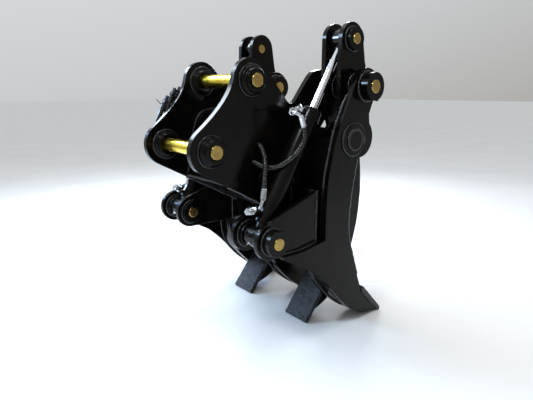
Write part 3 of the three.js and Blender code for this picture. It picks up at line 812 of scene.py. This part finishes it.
def make_supply_hoses():
    """Each ends in a sleeve, a nut and a cap."""
    for number, route in enumerate(SUPPLY_HOSES, 1):
        line = resample([at(*p) for p in catmull(route, 80)], 0.004)
        end = line[-1]
        along = (end - line[-3]).normalized()
        parts = [
            sweep(line, plain(SUPPLY_RADIUS), 16),
            turned([(SUPPLY_RADIUS, -34), (15, -33), (15, 4), (12, 5)], end, along, 20),
            hex_nut(end + along * 0.006, along, 30, 20),
            turned([(12, 0), (14.5, 2), (14.5, 22), (10, 26)], end + along * 0.024, along, 20),
        ]
        crisp(piece(f"supply_hose_{number}", *gather(parts), GUARD, "frame", "hose"))
    tie = sweep(resample([at(*p) for p in catmull(TIE, 30)], 0.004), plain(TIE_RADIUS), 8)
    piece("supply_hose_tie", *tie, GUARD, "frame", "hose")


make_supply_hoses()


# ---------------------------------------------------------------- grease nipples, keepers, bolts
def nipple(point, axis):
    stem = [(3.2, 0), (3.2, 4), (2.2, 5), (3.4, 7.5), (3.4, 9), (1.6, 11)]
    return gather([hex_nut(point - axis * 0.001, axis, 11, 7),
                   turned(stem, point + axis * 0.005, axis, 16)])


def bolt(point, axis, across):
    """A washer and a hexagon head."""
    washer = [(across * 0.75, 0), (across * 0.75, 2), (across * 0.7, 2.4)]
    return gather([turned(washer, point, axis, 24), hex_nut(point + axis * 0.002, axis, across, 7)])


def outwards(degrees):
    """The direction square to X at an angle from +Y."""
    turn = math.radians(degrees)
    return Vector((0, math.cos(turn), math.sin(turn)))


def on_round(x, centre, radius, degrees):
    """A place on a round boss, and the direction out of it."""
    direction = outwards(degrees)
    return at(x, *centre) + direction * radius / 1000, direction


FOOT_SCREWS = ((-20, 150), (6, 163), (24, 148))  # sideways from the cylinder's middle, and degrees
HUB_NIPPLE_X = 330
KEEPER_X = 505


def make_small_parts():
    for side, label in SIDES:
        for name, body, x, centre, radius, degrees in (
                ("foot", f"barrel_{label}", CYLINDER_X, FOOT, 51, 200),
                ("rod_eye", f"rod_{label}", CYLINDER_X, ROD_PIN, 53, 60),
                ("hub", "jaw", HUB_NIPPLE_X, MAIN_PIVOT, 59, 60)):
            shape = nipple(*on_round(side * x, centre, radius, degrees))
            crisp(piece(f"nipple_{name}_{label}", *shape, ZINC, body, "zinc"))
        screws = [bolt(*on_round(side * (CYLINDER_X + dx), FOOT, 51.2, degrees), 8)
                  for dx, degrees in FOOT_SCREWS]
        crisp(piece(f"foot_screws_{label}", *gather(screws), PAINT, f"barrel_{label}", "paint"))
        keeper = bolt(*on_round(side * KEEPER_X, MAIN_PIVOT, 66, -62), 15)
        crisp(piece(f"pivot_keeper_{label}", *keeper, PAINT, "frame", "paint"))


make_small_parts()


# ---------------------------------------------------------------- studio
FLOOR_HALF = 60
LIGHT_TARGET = Vector((0, 0, 0.8))


def make_floor():
    mesh = bpy.data.meshes.new("floor")
    corners = [(x * FLOOR_HALF, y * FLOOR_HALF, 0) for x, y in ((-1, -1), (1, -1), (1, 1), (-1, 1))]
    mesh.from_pydata(corners, [], [(0, 1, 2, 3)])
    floor = bpy.data.objects.new("floor", mesh)
    bpy.context.scene.collection.objects.link(floor)
    n = Nodes("pale_floor")
    n.drive(Base_Color=n.ramp(n.noise(1.5, 3, 0.5), (0.3, (0.74, 0.74, 0.73)), (0.7, (0.78, 0.78, 0.77))))
    n.set(Roughness=0.9)
    mesh.materials.append(n.material)


def make_world():
    """A soft sky: palest overhead, greyer towards the horizon and below, and darker on the +X side."""
    world = bpy.data.worlds.new("world")
    bpy.context.scene.world = world
    world.use_nodes = True
    tree = world.node_tree
    direction = tree.nodes.new("ShaderNodeTexCoord").outputs["Generated"]
    away = tree.nodes.new("ShaderNodeVectorMath")
    away.operation = "DOT_PRODUCT"
    away.inputs[1].default_value = (0.35, 0.05, -0.9)
    tree.links.new(direction, away.inputs[0])
    raised = tree.nodes.new("ShaderNodeMath")
    raised.inputs[1].default_value = 1.0
    tree.links.new(away.outputs["Value"], raised.inputs[0])
    shade = tree.nodes.new("ShaderNodeValToRGB")
    elements = shade.color_ramp.elements
    elements.new(0.7)
    stops = ((0.1, (0.84, 0.87, 0.90)), (0.7, (0.58, 0.59, 0.60)), (1.0, (0.40, 0.39, 0.37)))
    for element, (position, colour) in zip(elements, stops):
        element.position = position
        element.color = (*colour, 1)
    tree.links.new(raised.outputs[0], shade.inputs["Fac"])
    background = tree.nodes["Background"]
    tree.links.new(shade.outputs["Color"], background.inputs["Color"])
    background.inputs["Strength"].default_value = 1.0


def area(name, place, size, power, colour=(1, 1, 1)):
    """A rectangular light that faces the object."""
    data = bpy.data.lights.new(name, "AREA")
    data.shape = "RECTANGLE"
    data.size, data.size_y = size
    data.energy = power
    data.color = colour
    light = bpy.data.objects.new(name, data)
    light.location = place
    light.rotation_euler = (LIGHT_TARGET - Vector(place)).to_track_quat("-Z", "Y").to_euler()
    bpy.context.scene.collection.objects.link(light)


def make_lights():
    area("key", (-2.7, -0.8, 2.9), (1.6, 0.9), 80, (0.80, 0.90, 1.0))
    area("sky", (-3.5, -1.0, 1.7), (1.0, 1.0), 60, (0.36, 0.58, 1.0))
    area("window", (-2.3, -2.6, 2.8), (0.9, 0.9), 110, (0.52, 0.74, 1.0))
    area("back", (-2.4, 3.0, 2.6), (1.2, 1.2), 80, (0.90, 0.95, 1.0))
    area("top", (-0.8, 0.2, 4.2), (1.4, 1.4), 60)
    area("edge", (0.9, -2.2, 4.0), (0.7, 0.7), 60, (0.86, 0.93, 1.0))


make_floor()
make_world()
make_lights()
bpy.context.scene.view_settings.view_transform = "Standard"
